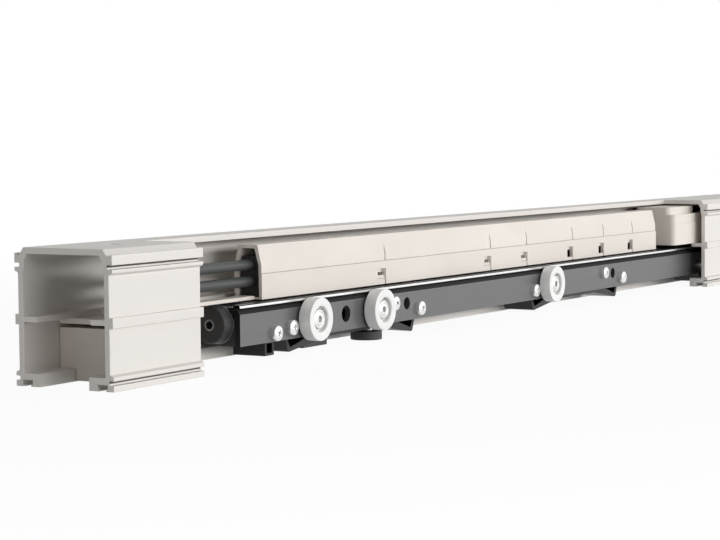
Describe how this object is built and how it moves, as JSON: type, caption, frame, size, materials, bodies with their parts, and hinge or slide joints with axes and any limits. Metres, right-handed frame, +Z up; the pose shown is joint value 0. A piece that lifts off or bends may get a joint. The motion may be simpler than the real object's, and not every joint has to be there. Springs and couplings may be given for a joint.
{
  "type": "sliding door operator",
  "caption": "Extruded track beam with a linear motor, control box and a magnet carriage on rollers that hangs and drives a sliding door leaf.",
  "frame": {"origin": "middle of the beam's length and depth, at its underside", "axes": "+X along the beam, from the end that is open to view to the closed one; +Y from the front with the cut-away window to the back; +Z up"},
  "size_m": [1.5, 0.0564, 0.064],
  "materials": {
    "satin_aluminium": "satin, clear anodised",
    "ivory_plastic": "moulded, matt",
    "beige_plastic": "moulded, matt",
    "black_anodised": "black anodised, satin",
    "black_steel": "black, fine texture",
    "bright_steel": "zinc plated",
    "magnet": "nickel plated",
    "roller_white": "turned plastic",
    "black_plastic": "matt",
    "buffer_rubber": "matt",
    "cable_grey": "matt sheath",
    "laminated_steel": "stacked sheets",
    "copper": "enamelled wire",
    "circuit_board": "lacquered"
  },
  "bodies": {
    "beam": {"cable_plug": "black_plastic", "cable_socket": "black_plastic", "control_base": "ivory_plastic", "control_board": "circuit_board", "control_capacitors": "black_plastic", "control_lid": "ivory_plastic", "control_terminals": "black_plastic", "driver_board_1": "circuit_board", "driver_board_2": "circuit_board", "power_cable_lower": "cable_grey", "power_cable_upper": "cable_grey", "stator_base_1": "ivory_plastic", "stator_base_2": "ivory_plastic", "stator_brackets": "bright_steel", "stator_coils_1": "copper", "stator_coils_2": "copper", "stator_core_1": "laminated_steel", "stator_core_2": "laminated_steel", "stator_lid_1": "ivory_plastic", "stator_lid_2": "ivory_plastic", "stop_block_left": "beige_plastic", "stop_block_right": "beige_plastic", "stop_clamp_left": "beige_plastic", "stop_clamp_right": "beige_plastic", "stop_screws": "bright_steel", "track_beam": "satin_aluminium"},
    "carriage": {"axle_bolts": "bright_steel", "back_iron": "bright_steel", "buffer_block_left": "black_plastic", "buffer_block_right": "black_plastic", "buffer_left": "buffer_rubber", "buffer_right": "buffer_rubber", "buffer_screws": "bright_steel", "carriage_bar": "black_anodised", "carriage_screws": "bright_steel", "guide_pins": "bright_steel", "hanger_1": "black_steel", "hanger_2": "black_steel", "hanger_3": "black_steel", "lock_block": "black_steel", "magnets": "magnet", "shoe_block": "black_plastic"},
    "wheel_1_front": {"roller_1_front": "roller_white", "bearing_1_front": "bright_steel"},
    "wheel_1_back": {"roller_1_back": "roller_white", "bearing_1_back": "bright_steel"},
    "wheel_2_front": {"roller_2_front": "roller_white", "bearing_2_front": "bright_steel"},
    "wheel_2_back": {"roller_2_back": "roller_white", "bearing_2_back": "bright_steel"},
    "wheel_3_front": {"roller_3_front": "roller_white", "bearing_3_front": "bright_steel"},
    "wheel_3_back": {"roller_3_back": "roller_white", "bearing_3_back": "bright_steel"},
    "wheel_4_front": {"roller_4_front": "roller_white", "bearing_4_front": "bright_steel"},
    "wheel_4_back": {"roller_4_back": "roller_white", "bearing_4_back": "bright_steel"},
    "guide_front": {"guide_roller_front": "black_plastic"},
    "guide_back": {"guide_roller_back": "black_plastic"}
  },
  "joints": [
    {"name": "carriage_slide", "type": "slide", "parent": "beam", "child": "carriage", "axis": [1, 0, 0], "range_m": [-0.041, 0.6]},
    {"name": "wheel_1_front_spin", "type": "hinge", "parent": "carriage", "child": "wheel_1_front", "pos_m": [-0.5645, -0.018, 0.0178], "axis": [0, 1, 0], "continuous": true},
    {"name": "wheel_1_back_spin", "type": "hinge", "parent": "carriage", "child": "wheel_1_back", "pos_m": [-0.5645, 0.018, 0.0178], "axis": [0, 1, 0], "continuous": true},
    {"name": "wheel_2_front_spin", "type": "hinge", "parent": "carriage", "child": "wheel_2_front", "pos_m": [-0.498, -0.018, 0.0178], "axis": [0, 1, 0], "continuous": true},
    {"name": "wheel_2_back_spin", "type": "hinge", "parent": "carriage", "child": "wheel_2_back", "pos_m": [-0.498, 0.018, 0.0178], "axis": [0, 1, 0], "continuous": true},
    {"name": "wheel_3_front_spin", "type": "hinge", "parent": "carriage", "child": "wheel_3_front", "pos_m": [-0.28, -0.018, 0.0178], "axis": [0, 1, 0], "continuous": true},
    {"name": "wheel_3_back_spin", "type": "hinge", "parent": "carriage", "child": "wheel_3_back", "pos_m": [-0.28, 0.018, 0.0178], "axis": [0, 1, 0], "continuous": true},
    {"name": "wheel_4_front_spin", "type": "hinge", "parent": "carriage", "child": "wheel_4_front", "pos_m": [0.0045, -0.018, 0.0178], "axis": [0, 1, 0], "continuous": true},
    {"name": "wheel_4_back_spin", "type": "hinge", "parent": "carriage", "child": "wheel_4_back", "pos_m": [0.0045, 0.018, 0.0178], "axis": [0, 1, 0], "continuous": true},
    {"name": "guide_front_spin", "type": "hinge", "parent": "carriage", "child": "guide_front", "pos_m": [-0.4918, -0.00505, 0.003], "axis": [0, 0, 1], "continuous": true},
    {"name": "guide_back_spin", "type": "hinge", "parent": "carriage", "child": "guide_back", "pos_m": [0.02005, 0.00505, 0.003], "axis": [0, 0, 1], "continuous": true}
  ],
  "couplings": [
    {"joint": "wheel_1_front_spin", "follows": "carriage_slide", "rad_per_m": 87.719},
    {"joint": "wheel_1_back_spin", "follows": "carriage_slide", "rad_per_m": 87.719},
    {"joint": "wheel_2_front_spin", "follows": "carriage_slide", "rad_per_m": 87.719},
    {"joint": "wheel_2_back_spin", "follows": "carriage_slide", "rad_per_m": 87.719},
    {"joint": "wheel_3_front_spin", "follows": "carriage_slide", "rad_per_m": 87.719},
    {"joint": "wheel_3_back_spin", "follows": "carriage_slide", "rad_per_m": 87.719},
    {"joint": "wheel_4_front_spin", "follows": "carriage_slide", "rad_per_m": 87.719},
    {"joint": "wheel_4_back_spin", "follows": "carriage_slide", "rad_per_m": 87.719},
    {"joint": "guide_front_spin", "follows": "carriage_slide", "rad_per_m": -112.99},
    {"joint": "guide_back_spin", "follows": "carriage_slide", "rad_per_m": 112.99}
  ]
}
